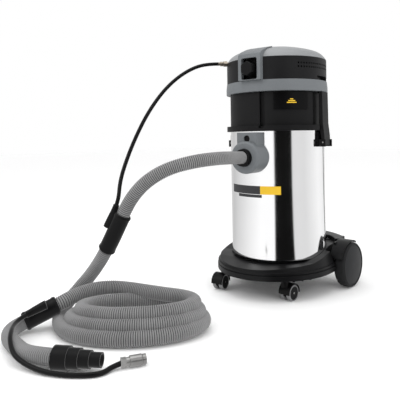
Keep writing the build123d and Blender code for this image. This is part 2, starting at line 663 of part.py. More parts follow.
KNOB_Z, KNOB_R, KNOB_FACE = 738.0, 27.0, 204.0
with BuildPart() as panel:
    with BuildSketch(Plane.XZ.offset(COVER_R - 22)):
        with Locations((0, (BAND_TOP + FRAME_TOP) / 2 - 6)):
            Rectangle(2 * FRAME_HALF - 15, FRAME_TOP - BAND_TOP - 14)
    extrude(amount=17)
    with BuildSketch(Plane.XZ.offset(COVER_R - 18)):
        with Locations((0, (BAND_TOP + FRAME_TOP) / 2 - 6)):
            Rectangle(2 * FRAME_HALF - 19, FRAME_TOP - BAND_TOP - 18)
    extrude(amount=17, mode=Mode.SUBTRACT)
    with BuildSketch(Plane.XZ.offset(COVER_R - 30)):
        with Locations((0, KNOB_Z)):
            Circle(4 + RUN)
    extrude(amount=30, mode=Mode.SUBTRACT)
save(panel.part, "selector_panel", TANK_TURN)

with BuildPart() as knob:
    with BuildSketch(Plane.XZ.offset(COVER_R - 12)):
        with Locations((0, KNOB_Z)):
            Circle(KNOB_R - 2)
    extrude(amount=8)
    with BuildSketch(Plane.XZ.offset(COVER_R - 4)):
        with Locations((0, KNOB_Z)):
            RegularPolygon(KNOB_R, 6, rotation=30)
    extrude(amount=KNOB_FACE - COVER_R + 4, taper=5)
    fillet(knob.faces().sort_by(Axis.Y)[0].edges(), 2)
    with BuildSketch(Plane.XZ.offset(COVER_R - 26)):
        with Locations((0, KNOB_Z)):
            Circle(4)
    extrude(amount=16)
save(knob.part, "selector_knob", TANK_TURN)

# ---------------------------------------------------------------- head: motor, fan and filter
FAN_R, FAN_LOW, FAN_HIGH = 72.0, FLOOR_Z + FLOOR_T, 596.0
SHAFT_R = 4.0
with BuildPart() as fan_case:
    with BuildSketch(Plane.XY.offset(FAN_LOW)):
        Circle(FAN_R)
    extrude(amount=FAN_HIGH - FAN_LOW)
    with BuildSketch(Plane.XY.offset(FAN_LOW + 2)):
        Circle(FAN_R - 2)
    extrude(amount=FAN_HIGH - FAN_LOW - 4, mode=Mode.SUBTRACT)
    with BuildSketch(Plane.XY.offset(FAN_LOW - 1)):
        Circle(30)
    extrude(amount=4, mode=Mode.SUBTRACT)
    with BuildSketch(Plane.XY.offset(FAN_HIGH - 3)):
        Circle(SHAFT_R + RUN)
    extrude(amount=4, mode=Mode.SUBTRACT)
    with BuildSketch(facing(FAN_R - 5, 180, (FAN_LOW + FAN_HIGH) / 2)):
        Rectangle(40, 16)
    extrude(amount=10, mode=Mode.SUBTRACT)
save(fan_case.part, "fan_case", TANK_TURN)

BLADES = 8
with BuildPart() as impeller:
    for z in (FAN_LOW + 6, FAN_HIGH - 10):
        with BuildSketch(Plane.XY.offset(z)):
            Circle(62)
            Circle(22 if z < FAN_HIGH - 12 else SHAFT_R, mode=Mode.SUBTRACT)
        extrude(amount=2)
    with BuildSketch(Plane.XY.offset(FAN_LOW + 7)):
        with PolarLocations(42, BLADES):
            Rectangle(36, 2, rotation=35)
    extrude(amount=FAN_HIGH - FAN_LOW - 16)
    with BuildSketch(Plane.XY.offset(FAN_LOW + 8)):
        Circle(SHAFT_R)
    extrude(amount=110)
save(impeller.part, "impeller", TANK_TURN)

MOTOR_R, MOTOR_TOP = 50.0, 690.0
with BuildPart() as motor:
    with BuildSketch(Plane.XY.offset(FAN_HIGH)):
        Circle(MOTOR_R)
    extrude(amount=MOTOR_TOP - FAN_HIGH)
    fillet(motor.edges().filter_by(GeomType.CIRCLE).sort_by(Axis.Z)[-1], 8)
    with BuildSketch(Plane.XY.offset(FAN_HIGH)):
        Circle(SHAFT_R + RUN)
    extrude(amount=MOTOR_TOP - FAN_HIGH - 6, mode=Mode.SUBTRACT)
save(motor.part, "motor", TANK_TURN)

FILTER_R, FILTER_BORE, FILTER_LOW = 74.0, 55.0, 400.0
PLEATS = 36
with BuildPart() as cartridge:
    with BuildSketch(Plane.XY.offset(FILTER_LOW)):
        with BuildLine():
            ring = [
                (radius * math.cos(math.tau * k / (2 * PLEATS)), radius * math.sin(math.tau * k / (2 * PLEATS)))
                for k in range(2 * PLEATS)
                for radius in [FILTER_R if k % 2 else FILTER_R - 9]
            ]
            Polyline(*ring, close=True)
        make_face()
        Circle(FILTER_BORE, mode=Mode.SUBTRACT)
    extrude(amount=FLOOR_Z - 8 - FILTER_LOW)
save(cartridge.part, "filter_cartridge", TANK_TURN)

with BuildPart() as filter_collar:
    with BuildSketch(Plane.XY.offset(FLOOR_Z - 8)):
        Circle(FILTER_R + 3)
        Circle(THROAT_R, mode=Mode.SUBTRACT)
    extrude(amount=8)
save(filter_collar.part, "filter_collar", TANK_TURN)

with BuildPart() as filter_plate:
    with BuildSketch(Plane.XY.offset(FILTER_LOW - 6)):
        Circle(FILTER_R + 3)
        Circle(30, mode=Mode.SUBTRACT)
    extrude(amount=6)
save(filter_plate.part, "filter_plate", TANK_TURN)

CAGE_R, CAGE_LOW, BALL_R, BALL_TRAVEL = 30.0, 470.0, 22.0, 22.0
with BuildPart() as cage:
    with BuildSketch(Plane.XY.offset(FLOOR_Z - 8 - 4)):
        Circle(THROAT_R + 4)
        Circle(BALL_R - 4, mode=Mode.SUBTRACT)
    extrude(amount=4)
    with BuildSketch(Plane.XY.offset(CAGE_LOW)):
        Circle(CAGE_R + 1)
        Circle(12, mode=Mode.SUBTRACT)
    extrude(amount=4)
    with BuildSketch(Plane.XY.offset(CAGE_LOW + 3)):
        with PolarLocations(CAGE_R - 3, 6):
            Circle(2.5)
    extrude(amount=FLOOR_Z - 12 - CAGE_LOW - 3)
save(cage.part, "float_cage", TANK_TURN)

with BuildPart() as ball:
    with Locations((0, 0, CAGE_LOW + 4 + BALL_R + 0.5)):
        Sphere(BALL_R)
save(ball.part, "float_ball", TANK_TURN)

# ---------------------------------------------------------------- head: cable gland and air outlet
with BuildPart() as gland:
    with BuildSketch(facing(BAND_R - 6, 180, GLAND_Z)):
        Circle(GLAND_R)
    extrude(amount=22)
    with BuildSketch(facing(BAND_R - 7, 180, GLAND_Z)):
        Circle(GLAND_R / 2)
    extrude(amount=40, mode=Mode.SUBTRACT)
save(gland.part, "cable_gland", TANK_TURN)

FITTING_IN, FITTING_OUT = 158.0, 205.0
with BuildPart() as fitting:
    with BuildSketch(facing(FITTING_IN, AIR_AZ, AIR_Z)):
        Circle(STUB_R)
    extrude(amount=FITTING_OUT - FITTING_IN)
    with BuildSketch(facing(COVER_R + 2, AIR_AZ, AIR_Z)):
        RegularPolygon(10.5, 6)
    extrude(amount=12)
    with BuildSketch(facing(COVER_R + 16, AIR_AZ, AIR_Z)):
        Circle(8)
    extrude(amount=10)
save(fitting.part, "air_outlet", TANK_TURN)

# ---------------------------------------------------------------- suction hose
CUFF_R, CUFF_END = 29.0, 240.0
with BuildPart() as cuff:
    with BuildSketch(Plane.XZ.offset(PORT_FACE - 16)):
        with Locations((0, PORT_Z)):
            Circle(PORT_BORE_R - 0.2)
    extrude(amount=16.2)
    with BuildSketch(Plane.XZ.offset(PORT_FACE + 0.2)):
        with Locations((0, PORT_Z)):
            Circle(CUFF_R)
    extrude(amount=CUFF_END - PORT_FACE - 0.2, taper=8)
    with BuildSketch(Plane.XZ.offset(PORT_FACE - 17)):
        with Locations((0, PORT_Z)):
            Circle(HOSE_R)
    extrude(amount=CUFF_END - PORT_FACE + 20, mode=Mode.SUBTRACT)
save(cuff.part, "hose_cuff", TANK_TURN)


def corner_radii(points):
    """The largest even arcs that a route's runs allow: 0.45 of the shorter run over tan(half the turn)."""
    points = [Vector(*p) for p in points]
    radii = []
    for before, here, after in zip(points, points[1:], points[2:]):
        into, out = here - before, after - here
        half_turn = math.radians(into.get_angle(out)) / 2
        radii.append(0.45 * min(into.length, out.length) / math.tan(half_turn))
    return radii


def cord_tube(name, points, radius):
    """A round tube along straight runs and tangent arcs, written as one node."""
    radii = corner_radii(points)
    with BuildPart() as tube:
        with BuildLine() as path:
            FilletPolyline(*points, radius=radii)
        with BuildSketch(Plane(origin=path.line @ 0, z_dir=path.line % 0)):
            Circle(radius)
        sweep()
    length = sum(edge.length for edge in path.line.edges())
    share = tube.part.volume / (math.pi * radius**2 * length)
    print(name, "length", round(length), "radii", [round(r) for r in radii], "volume share", round(share, 4))
    save(tube.part, name)


def along(start, end, reach=0.0):
    """A plane at a point on the line from start to end, looking along it."""
    start, end = Vector(*start), Vector(*end)
    way = (end - start).normalized()
    return Plane(origin=start + way * reach, z_dir=way)


# The coil: its centre, the way its long axis points, the half-axes of its widest turn, and its height.
COIL_CENTRE, COIL_ANGLE = (-77.0, -605.0), 41.8
COIL_A, COIL_B, COIL_H = 200.0, 125.0, 100.0

LEAD_ROUTE = [
    (18.5, -211.2, 452), (25.3, -288.9, 455), (20, -362, 456), (-14, -430, 449), (-62, -486, 430),
    (-108, -524, 396), (-146, -547, 350), (-173, -559, 299), (-225, -582, 187), (-292, -588, 108),
    (-326, -618, 60), (-316, -668, 28), (-280, -708, 21), (-234, -733, 21),
]
cord_tube("suction_hose_lead", LEAD_ROUTE, HOSE_R)

coil_plane = Plane(
    origin=(*COIL_CENTRE, 0), z_dir=(0, 0, 1),
    x_dir=(math.cos(math.radians(COIL_ANGLE)), math.sin(math.radians(COIL_ANGLE)), 0),
)
with BuildPart() as coil:
    with BuildSketch(coil_plane):
        Ellipse(COIL_A + HOSE_R, COIL_B + HOSE_R)
        Ellipse(COIL_A - 3.3 * HOSE_R, COIL_B - 3.3 * HOSE_R, mode=Mode.SUBTRACT)
    extrude(amount=COIL_H)
save(coil.part, "suction_hose_coil")

TAIL_ROUTE = [
    (-150, -530, 76), (-200, -562, 82), (-234, -614, 84), (-246, -674, 78), (-248, -730, 65),
    (-302, -803, 25), (-288, -850, 20), (-240, -876, 20), (-180, -888, 20), (-132, -892, 20),
    (-85, -881.5, 24), (-41.3, -864, 27),
]
cord_tube("suction_hose_tail", TAIL_ROUTE, HOSE_R)

# Rubber sleeves that let the air hose into and out of the suction hose.
SLEEVE_R, BOOT_R, BOOT_OFF = 24.5, 10.0, 27.0
for name, start, end, boot_side, boot_from, boot_to in (
    ("near", LEAD_ROUTE[7], LEAD_ROUTE[8], (-0.62, -0.72, 0.2), 0.0, 66.0),
    ("far", TAIL_ROUTE[4], TAIL_ROUTE[5], (0.45, -0.5, 0.75), 24.0, 66.0),
):
    base_plane = along(start, end)
    reach = (Vector(*end) - Vector(*start)).length
    aside = Vector(*boot_side)
    aside = (aside - base_plane.z_dir * aside.dot(base_plane.z_dir)).normalized() * BOOT_OFF
    boot = Plane(origin=base_plane.origin + aside + base_plane.z_dir * boot_from, z_dir=base_plane.z_dir)
    with BuildPart() as hose_sleeve:
        with BuildSketch(base_plane):
            Circle(SLEEVE_R)
        extrude(amount=reach)
        with BuildSketch(boot):
            Circle(BOOT_R)
        extrude(amount=boot_to - boot_from)
        with BuildSketch(base_plane.offset(-1)):
            Circle(HOSE_R)
        extrude(amount=reach + 2, mode=Mode.SUBTRACT)
        with BuildSketch(boot.offset(-1)):
            Circle(AIR_R)
        extrude(amount=boot_to - boot_from + 2, mode=Mode.SUBTRACT)
    save(hose_sleeve.part, f"hose_sleeve_{name}")

# Stepped tool adapter: (outer radius, length) of each step, from the hose to the tool.
ADAPTER_STEPS = ((27.0, 36.0), (23.5, 26.0), (20.0, 25.0), (16.5, 25.0))
ADAPTER_BORE = 13.0
ADAPTER_START, ADAPTER_AIM = (-45.5, -866.7, 27.2), (45.5, -807.7, 27.2)
with BuildPart() as adapter:
    reach = 0.0
    for step_r, step_length in ADAPTER_STEPS:
        with BuildSketch(along(ADAPTER_START, ADAPTER_AIM, reach)):
            Circle(step_r)
        extrude(amount=step_length)
        reach += step_length
    with BuildSketch(along(ADAPTER_START, ADAPTER_AIM, -1)):
        Circle(HOSE_R)
    extrude(amount=25, mode=Mode.SUBTRACT)
    with BuildSketch(along(ADAPTER_START, ADAPTER_AIM, 20)):
        Circle(ADAPTER_BORE)
    extrude(amount=reach, mode=Mode.SUBTRACT)
save(adapter.part, "tool_adapter")

# ---------------------------------------------------------------- compressed-air hose
OUTLET_AZ = AIR_AZ + TANK_TURN
AIR_UPPER_ROUTE = [
    tuple(around(FITTING_OUT + 0.3, OUTLET_AZ, AIR_Z)), tuple(around(FITTING_OUT + 32, OUTLET_AZ, AIR_Z)),
    (-182, -222, 763), (-200, -285, 728), (-213, -349, 675),
    (-219, -413, 602), (-220, -463, 528), (-216, -506, 457), (-203, -545, 392), (-176, -573, 337),
    (-192.3, -580.2, 301.1),
]
cord_tube("air_hose_upper", AIR_UPPER_ROUTE, AIR_R)
AIR_TAIL_ROUTE = [
    (-264.5, -782.5, 64.1), (-281.9, -806.1, 51.2), (-270, -838, 46), (-246, -862, 45), (-213, -884, 47),
    (-178, -905, 42), (-134, -919, 26), (-91, -912, 14), (-42, -899, 8), (4, -875, 6), (34, -852, 6),
    (54, -832, 6), (63, -811, 6), (59.4, -785, 8.5), (69.9, -762.7, 13),
]
cord_tube("air_hose_tail", AIR_TAIL_ROUTE, AIR_R)

# Quick coupler: a nut on the hose, a core with a front lip, and a collar that slides back on the core.
COUPLER_START, COUPLER_AIM, COUPLER_L = (67.0, -768.0, 13.0), (93.0, -720.5, 13.0), 58.0
CORE_R, LIP_R, COLLAR_R, COUPLER_BORE = 9.95, 11.5, 12.8, 5.5
NUT_L, COLLAR_FROM, COLLAR_TO, LIP_FROM = 12.0, 20.0, 49.0, 49.5
with BuildPart() as coupler:
    with BuildSketch(along(COUPLER_START, COUPLER_AIM)):
        RegularPolygon(11.5, 6)
    extrude(amount=NUT_L)
    with BuildSketch(along(COUPLER_START, COUPLER_AIM)):
        Circle(CORE_R)
    extrude(amount=COUPLER_L)
    with BuildSketch(along(COUPLER_START, COUPLER_AIM, LIP_FROM)):
        Circle(LIP_R)
    extrude(amount=COUPLER_L - LIP_FROM)
    with BuildSketch(along(COUPLER_START, COUPLER_AIM, -1)):
        Circle(AIR_R)
    extrude(amount=NUT_L, mode=Mode.SUBTRACT)
    with BuildSketch(along(COUPLER_START, COUPLER_AIM, NUT_L + 6)):
        Circle(COUPLER_BORE)
    extrude(amount=COUPLER_L, mode=Mode.SUBTRACT)
save(coupler.part, "quick_coupler")

with BuildPart() as collar:
    with BuildSketch(along(COUPLER_START, COUPLER_AIM, COLLAR_FROM)):
        Circle(COLLAR_R)
        Circle(CORE_R + RUN, mode=Mode.SUBTRACT)
    extrude(amount=COLLAR_TO - COLLAR_FROM)
    chamfer(collar.edges().filter_by(GeomType.CIRCLE).filter_by(lambda e: e.radius > COLLAR_R - 0.5), 1)
save(collar.part, "coupler_collar")
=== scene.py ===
"""Wet and dry dust extractor: looks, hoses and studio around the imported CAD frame.

Metres, +Z up, front -Y.
"""
import json
import math

import bmesh
import bpy
from mathutils import Matrix, Vector


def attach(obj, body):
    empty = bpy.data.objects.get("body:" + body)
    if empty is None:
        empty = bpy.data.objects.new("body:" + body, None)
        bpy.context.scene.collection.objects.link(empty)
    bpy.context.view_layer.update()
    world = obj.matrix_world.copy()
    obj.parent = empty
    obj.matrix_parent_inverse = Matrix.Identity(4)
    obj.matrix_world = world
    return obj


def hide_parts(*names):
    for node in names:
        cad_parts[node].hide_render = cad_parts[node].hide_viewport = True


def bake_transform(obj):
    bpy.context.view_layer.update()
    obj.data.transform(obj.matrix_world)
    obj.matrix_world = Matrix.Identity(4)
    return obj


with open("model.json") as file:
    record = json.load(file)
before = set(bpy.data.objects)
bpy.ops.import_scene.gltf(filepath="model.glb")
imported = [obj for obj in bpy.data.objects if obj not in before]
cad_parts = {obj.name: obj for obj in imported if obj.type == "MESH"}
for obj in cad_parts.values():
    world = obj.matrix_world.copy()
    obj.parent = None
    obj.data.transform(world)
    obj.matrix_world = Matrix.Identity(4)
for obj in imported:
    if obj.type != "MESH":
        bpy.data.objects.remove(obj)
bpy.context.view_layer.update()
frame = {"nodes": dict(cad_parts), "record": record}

NODES = frame["nodes"]

# ---------------------------------------------------------------- camera
CAMERA_AT = (0.925, -1.452, 0.52)
CAMERA_HEADING, CAMERA_ROLL = math.radians(41.625), math.radians(0.9)
LENS, SENSOR, SHIFT_Y = 43.11, 36.0, -0.1575


def place_camera():
    """A level camera that looks along the heading, rolled slightly clockwise."""
    forward = Vector((-math.sin(CAMERA_HEADING), math.cos(CAMERA_HEADING), 0))
    level = Vector((math.cos(CAMERA_HEADING), math.sin(CAMERA_HEADING), 0))
    right = level * math.cos(CAMERA_ROLL) - Vector((0, 0, 1)) * math.sin(CAMERA_ROLL)
    up = right.cross(forward)
    data = bpy.data.cameras.new("camera")
    data.lens, data.sensor_width, data.shift_y = LENS, SENSOR, SHIFT_Y
    camera = bpy.data.objects.new("camera", data)
    bpy.context.collection.objects.link(camera)
    turn = Matrix((right, up, -forward)).transposed().to_4x4()
    camera.matrix_world = Matrix.Translation(CAMERA_AT) @ turn
    bpy.context.scene.camera = camera


place_camera()

# ---------------------------------------------------------------- materials


def new_material(name):
    """An empty node material with its shader and object coordinates."""
    material = bpy.data.materials.new(name)
    material.use_nodes = True
    nodes, links = material.node_tree.nodes, material.node_tree.links
    shader = nodes["Principled BSDF"]
    coords = nodes.new("ShaderNodeTexCoord")
    return material, nodes, links, shader, coords.outputs["Object"]


def noise_node(nodes, links, coords, scale, detail, stretch=(1, 1, 1)):
    """A noise texture in object space; stretch scales the coordinates first."""
    mapping = nodes.new("ShaderNodeMapping")
    mapping.inputs["Scale"].default_value = stretch
    links.new(coords, mapping.inputs["Vector"])
    texture = nodes.new("ShaderNodeTexNoise")
    texture.inputs["Scale"].default_value = scale
    texture.inputs["Detail"].default_value = detail
    links.new(mapping.outputs["Vector"], texture.inputs["Vector"])
    return texture.outputs["Fac"]


NOISE_LOW, NOISE_HIGH = 0.3, 0.7  # the range that a noise texture's values mostly lie in


def spread(nodes, links, factor, low, high):
    """The factor's middle range mapped to low...high."""
    node = nodes.new("ShaderNodeMapRange")
    node.inputs["From Min"].default_value = NOISE_LOW
    node.inputs["From Max"].default_value = NOISE_HIGH
    node.inputs["To Min"].default_value = low
    node.inputs["To Max"].default_value = high
    links.new(factor, node.inputs["Value"])
    return node.outputs["Result"]


def tint(nodes, links, factor, dark, light):
    """A colour between two tones by a factor."""
    node = nodes.new("ShaderNodeMix")
    node.data_type = "RGBA"
    node.inputs["A"].default_value = (*dark, 1)
    node.inputs["B"].default_value = (*light, 1)
    links.new(factor, node.inputs["Factor"])
    return node.outputs["Result"]


PATCH_DETAIL, GRAIN_DETAIL = 4.0, 2.0
GRAIN_HEIGHT, EDGE_SAMPLES = 0.0004, 4


def finish_material(
    name, colour, rough, metallic=0.0, vary=0.12, rough_vary=0.06, grain=900.0, bump=0.08,
    patch=9.0, stretch=(1, 1, 1), edge=0.0008, sheen=0.0, shine=0.5,
):
    """Moulded or turned stuff: soft tone patches, uneven gloss, fine grain and softened edges."""
    material, nodes, links, shader, coords = new_material(name)
    patches = noise_node(nodes, links, coords, patch, PATCH_DETAIL)
    dark = tuple(c * (1 - vary) for c in colour)
    light = tuple(min(1, c * (1 + vary)) for c in colour)
    tone = tint(nodes, links, spread(nodes, links, patches, 0, 1), dark, light)
    gloss = spread(nodes, links, patches, rough - rough_vary, rough + rough_vary)
    links.new(tone, shader.inputs["Base Color"])
    links.new(gloss, shader.inputs["Roughness"])
    shader.inputs["Metallic"].default_value = metallic
    shader.inputs["Specular IOR Level"].default_value = shine
    shader.inputs["Sheen Weight"].default_value = sheen
    fine = noise_node(nodes, links, coords, grain, GRAIN_DETAIL, stretch)
    relief = nodes.new("ShaderNodeBump")
    relief.inputs["Strength"].default_value = bump
    relief.inputs["Distance"].default_value = GRAIN_HEIGHT
    links.new(fine, relief.inputs["Height"])
    if edge:
        soften = nodes.new("ShaderNodeBevel")
        soften.samples = EDGE_SAMPLES
        soften.inputs["Radius"].default_value = edge
        links.new(soften.outputs["Normal"], relief.inputs["Normal"])
    links.new(relief.outputs["Normal"], shader.inputs["Normal"])
    return material


FINISHES = {
    "stainless": dict(
        colour=(0.93, 0.93, 0.935), rough=0.1, metallic=1.0, vary=0.015, rough_vary=0.02, grain=60,
        bump=0.02, stretch=(1, 1, 40), edge=0.0,
    ),
    "trolley_plastic": dict(
        colour=(0.005, 0.005, 0.0055), rough=0.36, bump=0.1, edge=0.0025, shine=0.16,
    ),
    "grey_plastic": dict(colour=(0.15, 0.161, 0.17), rough=0.42, vary=0.05, bump=0.06, shine=0.25),
    "light_plastic": dict(colour=(0.25, 0.258, 0.266), rough=0.4, vary=0.04, bump=0.05, shine=0.3),
    "dark_plastic": dict(colour=(0.008, 0.008, 0.0085), rough=0.46, bump=0.12, shine=0.12),
    "flap_plastic": dict(colour=(0.003, 0.003, 0.0033), rough=0.25, bump=0.05, shine=0.1),
    "cap_plastic": dict(colour=(0.016, 0.0165, 0.018), rough=0.5, bump=0.12, shine=0.16),
    "black_plastic": dict(colour=(0.004, 0.004, 0.0043), rough=0.42, bump=0.1, shine=0.12),
    "cover_plastic": dict(colour=(0.01, 0.01, 0.0108), rough=0.42, bump=0.1, shine=0.14),
    "steel": dict(
        colour=(0.28, 0.277, 0.272), rough=0.32, metallic=1.0, vary=0.25, grain=420, bump=0.25,
    ),
    "motor_metal": dict(colour=(0.55, 0.55, 0.57), rough=0.4, metallic=1.0, grain=400, bump=0.2),
    "brass": dict(
        colour=(0.3, 0.265, 0.22), rough=0.34, metallic=1.0, vary=0.15, grain=300, bump=0.05,
    ),
    "tyre": dict(
        colour=(0.011, 0.0113, 0.012), rough=0.6, vary=0.2, bump=0.2, grain=700, shine=0.2,
    ),
    "caster_tread": dict(colour=(0.2, 0.2, 0.205), rough=0.5, vary=0.08, bump=0.1, shine=0.3),
    "rubber": dict(
        colour=(0.003, 0.003, 0.0033), rough=0.36, vary=0.2, bump=0.12, edge=0.001, shine=0.14,
    ),
    "hose_grey": dict(
        colour=(0.23, 0.23, 0.232), rough=0.5, vary=0.1, patch=14, bump=0.1, edge=0.0, shine=0.3,
    ),
    # painted shade: a near-black colour for the bottoms of the hose's grooves, standing in for the shade
    # that falls there
    "hose_groove_shade": dict(
        colour=(0.035, 0.035, 0.036), rough=0.6, vary=0.1, patch=14, bump=0.1, edge=0.0, shine=0.15,
    ),
    "air_hose": dict(
        colour=(0.003, 0.003, 0.0033), rough=0.34, vary=0.15, bump=0.05, edge=0.0, shine=0.14,
    ),
    "filter_fabric": dict(colour=(0.72, 0.71, 0.66), rough=0.85, grain=1600, bump=0.5, sheen=0.3),
    "float_plastic": dict(colour=(0.7, 0.7, 0.68), rough=0.4, vary=0.04),
    "yellow_print": dict(colour=(0.8, 0.5, 0.02), rough=0.45, vary=0.06, edge=0.0, shine=0.3),
    "dark_print": dict(colour=(0.03, 0.03, 0.032), rough=0.45, vary=0.1, edge=0.0, shine=0.3),
}
MATERIALS = {name: finish_material(name, **finish) for name, finish in FINISHES.items()}
REPAINT = {  # nodes whose finish differs from the one of their CAD slot
    "hubcap_left": "cap_plastic", "hubcap_right": "cap_plastic", "head_cover": "cover_plastic",
    "socket_flap": "flap_plastic",
}

for row in frame["record"]["subparts"]:
    node = row["node"]
    piece = NODES[node]
    piece.data.materials.clear()
    piece.data.materials.append(MATERIALS[REPAINT.get(node, row["material_slot"])])

# ---------------------------------------------------------------- curves and tubes
HOSE_R, AIR_R = 0.020, 0.006


def millimetres(points):
    """Route points written in millimetres, as vectors in metres."""
    return [Vector(p) / 1000 for p in points]


def nurbs(name, points, resolution):
    """An open NURBS curve of order 3 through its end points."""
    data = bpy.data.curves.new(name, "CURVE")
    data.dimensions = "3D"
    data.resolution_u = resolution
    spline = data.splines.new("NURBS")
    spline.points.add(len(points) - 1)
    for target, point in zip(spline.points, points):
        target.co = (*point, 1)
    spline.order_u = 3
    spline.use_endpoint_u = True
    curve = bpy.data.objects.new(name, data)
    bpy.context.collection.objects.link(curve)
    return curve


def spline_points(points, resolution):
    """Points read from the NURBS curve that the route controls."""
    guide = nurbs("guide", points, resolution)
    bpy.context.view_layer.update()
    mesh = bpy.data.meshes.new_from_object(guide)
    found = [v.co.copy() for v in mesh.vertices]
    bpy.data.objects.remove(guide)
    bpy.data.meshes.remove(mesh)
    return found


def distances(line):
    """Distance along a line at each of its points."""
    total = [0.0]
    for a, b in zip(line, line[1:]):
        total.append(total[-1] + (b - a).length)
    return total


def even(line, step):
    """The same line with its points a step apart."""
    total = distances(line)
    count = max(2, round(total[-1] / step) + 1)
    out, k = [], 0
    for i in range(count):
        want = total[-1] * i / (count - 1)
        while k < len(line) - 2 and total[k + 1] < want:
            k += 1
        share = (want - total[k]) / max(1e-9, total[k + 1] - total[k])
        out.append(line[k].lerp(line[k + 1], min(1, share)))
    return out


def nearest(line, point):
    """Index of the line's point nearest to a point."""
    return min(range(len(line)), key=lambda i: (line[i] - Vector(point)).length_squared)


def piece_from(name, mesh_builder, material):
    """A new mesh object from a bmesh, smooth shaded, with its material and slot."""
    mesh = bpy.data.meshes.new(name)
    bmesh.ops.recalc_face_normals(mesh_builder, faces=mesh_builder.faces)
    mesh_builder.to_mesh(mesh)
    mesh_builder.free()
    for polygon in mesh.polygons:
        polygon.use_smooth = True
    mesh.materials.append(MATERIALS[material])
    made = bpy.data.objects.new(name, mesh)
    bpy.context.collection.objects.link(made)
    return made


def tube(name, line, radii, sides, material):
    """A closed tube along a line: one ring of vertices at each point, with its own radius."""
    builder = bmesh.new()
    rings = []
    normal = None
    for i, point in enumerate(line):
        way = (line[min(i + 1, len(line) - 1)] - line[max(i - 1, 0)]).normalized()
        if normal is None:
            normal = way.orthogonal().normalized()
        normal = (normal - way * normal.dot(way)).normalized()
        binormal = way.cross(normal)
        ring = []
        for k in range(sides):
            a = math.tau * k / sides
            out = normal * math.cos(a) + binormal * math.sin(a)
            ring.append(builder.verts.new(point + out * radii[i]))
        rings.append(ring)
    for a, b in zip(rings, rings[1:]):
        for k in range(sides):
            builder.faces.new((a[k], a[(k + 1) % sides], b[(k + 1) % sides], b[k]))
    builder.faces.new(rings[0])
    builder.faces.new(list(reversed(rings[-1])))
    return piece_from(name, builder, material)


# ---------------------------------------------------------------- suction hose
LEAD_ROUTE = millimetres([
    (18.5, -211.2, 452), (25.3, -288.9, 455), (20, -362, 456), (-14, -430, 449), (-62, -486, 430),
    (-108, -524, 396), (-146, -547, 350), (-173, -559, 299), (-225, -582, 187), (-292, -588, 108),
    (-326, -618, 60), (-316, -668, 28), (-280, -708, 21),
])
TAIL_ROUTE = millimetres([
    (-200, -562, 82), (-234, -614, 84), (-246, -674, 78), (-248, -730, 65), (-302, -803, 25),
    (-288, -850, 20), (-240, -876, 20), (-180, -888, 20), (-132, -892, 20), (-85, -881.5, 24),
    (-41.3, -864, 27),
])
COIL_CENTRE, COIL_ANGLE = Vector((-0.077, -0.605, 0)), math.radians(41.8)
COIL_A, COIL_B, COIL_SHRINK, COIL_DRIFT = 0.200, 0.116, 0.020, 0.007
COIL_FLOOR, COIL_CLIMB, COIL_FLAT = 0.0205, 0.023, 0.25
COIL_FROM, COIL_TO, COIL_PER_TURN = 0.04, 2.68, 14  # turns, turns, points for each turn


def coil_points():
    """More points of the hose's own spline: turns that climb and shrink a little each time round."""
    along = Vector((math.cos(COIL_ANGLE), math.sin(COIL_ANGLE), 0))
    away = Vector((-math.sin(COIL_ANGLE), math.cos(COIL_ANGLE), 0))
    count = round((COIL_TO - COIL_FROM) * COIL_PER_TURN)
    points = []
    for i in range(count + 1):
        s = COIL_FROM + (COIL_TO - COIL_FROM) * i / count
        u = COIL_DRIFT * s - (COIL_A - COIL_SHRINK * s) * math.cos(math.tau * s)
        v = -(COIL_B - COIL_SHRINK * s) * math.sin(math.tau * s)
        z = COIL_FLOOR + COIL_CLIMB * max(0, s - COIL_FLAT)
        points.append(COIL_CENTRE + along * u + away * v + Vector((0, 0, z)))
    return points


HOSE_SMOOTH, HOSE_SIDES = 16, 20
RIB_PITCH, RIB_DEPTH = 0.0056, 0.0018
RIB_STEPS = ((0.0, 0.0), (0.5, 0.0), (0.6, 1.0), (0.9, 1.0))  # shares of the pitch and the depth

hose_line = even(spline_points(LEAD_ROUTE + coil_points() + TAIL_ROUTE, HOSE_SMOOTH), RIB_PITCH)
ribbed, ribs = [], []
for a, b in zip(hose_line, hose_line[1:]):
    for share, depth in RIB_STEPS:
        ribbed.append(a.lerp(b, share))
        ribs.append(HOSE_R - RIB_DEPTH * depth)
ribbed.append(hose_line[-1])
ribs.append(HOSE_R)
suction_hose = tube("suction_hose", ribbed, ribs, HOSE_SIDES, "hose_grey")
suction_hose.data.materials.append(MATERIALS["hose_groove_shade"])
for polygon in suction_hose.data.polygons:  # the faces at the bottom of each groove get a darker colour: painted shade in the grooves
    ring = polygon.index // HOSE_SIDES
    if ring + 1 < len(ribs) and ribs[ring] < HOSE_R and ribs[ring + 1] < HOSE_R:
        polygon.material_index = 1
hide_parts("suction_hose_lead", "suction_hose_coil", "suction_hose_tail")
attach(suction_hose, "root")
print("suction hose", round(distances(hose_line)[-1], 3))

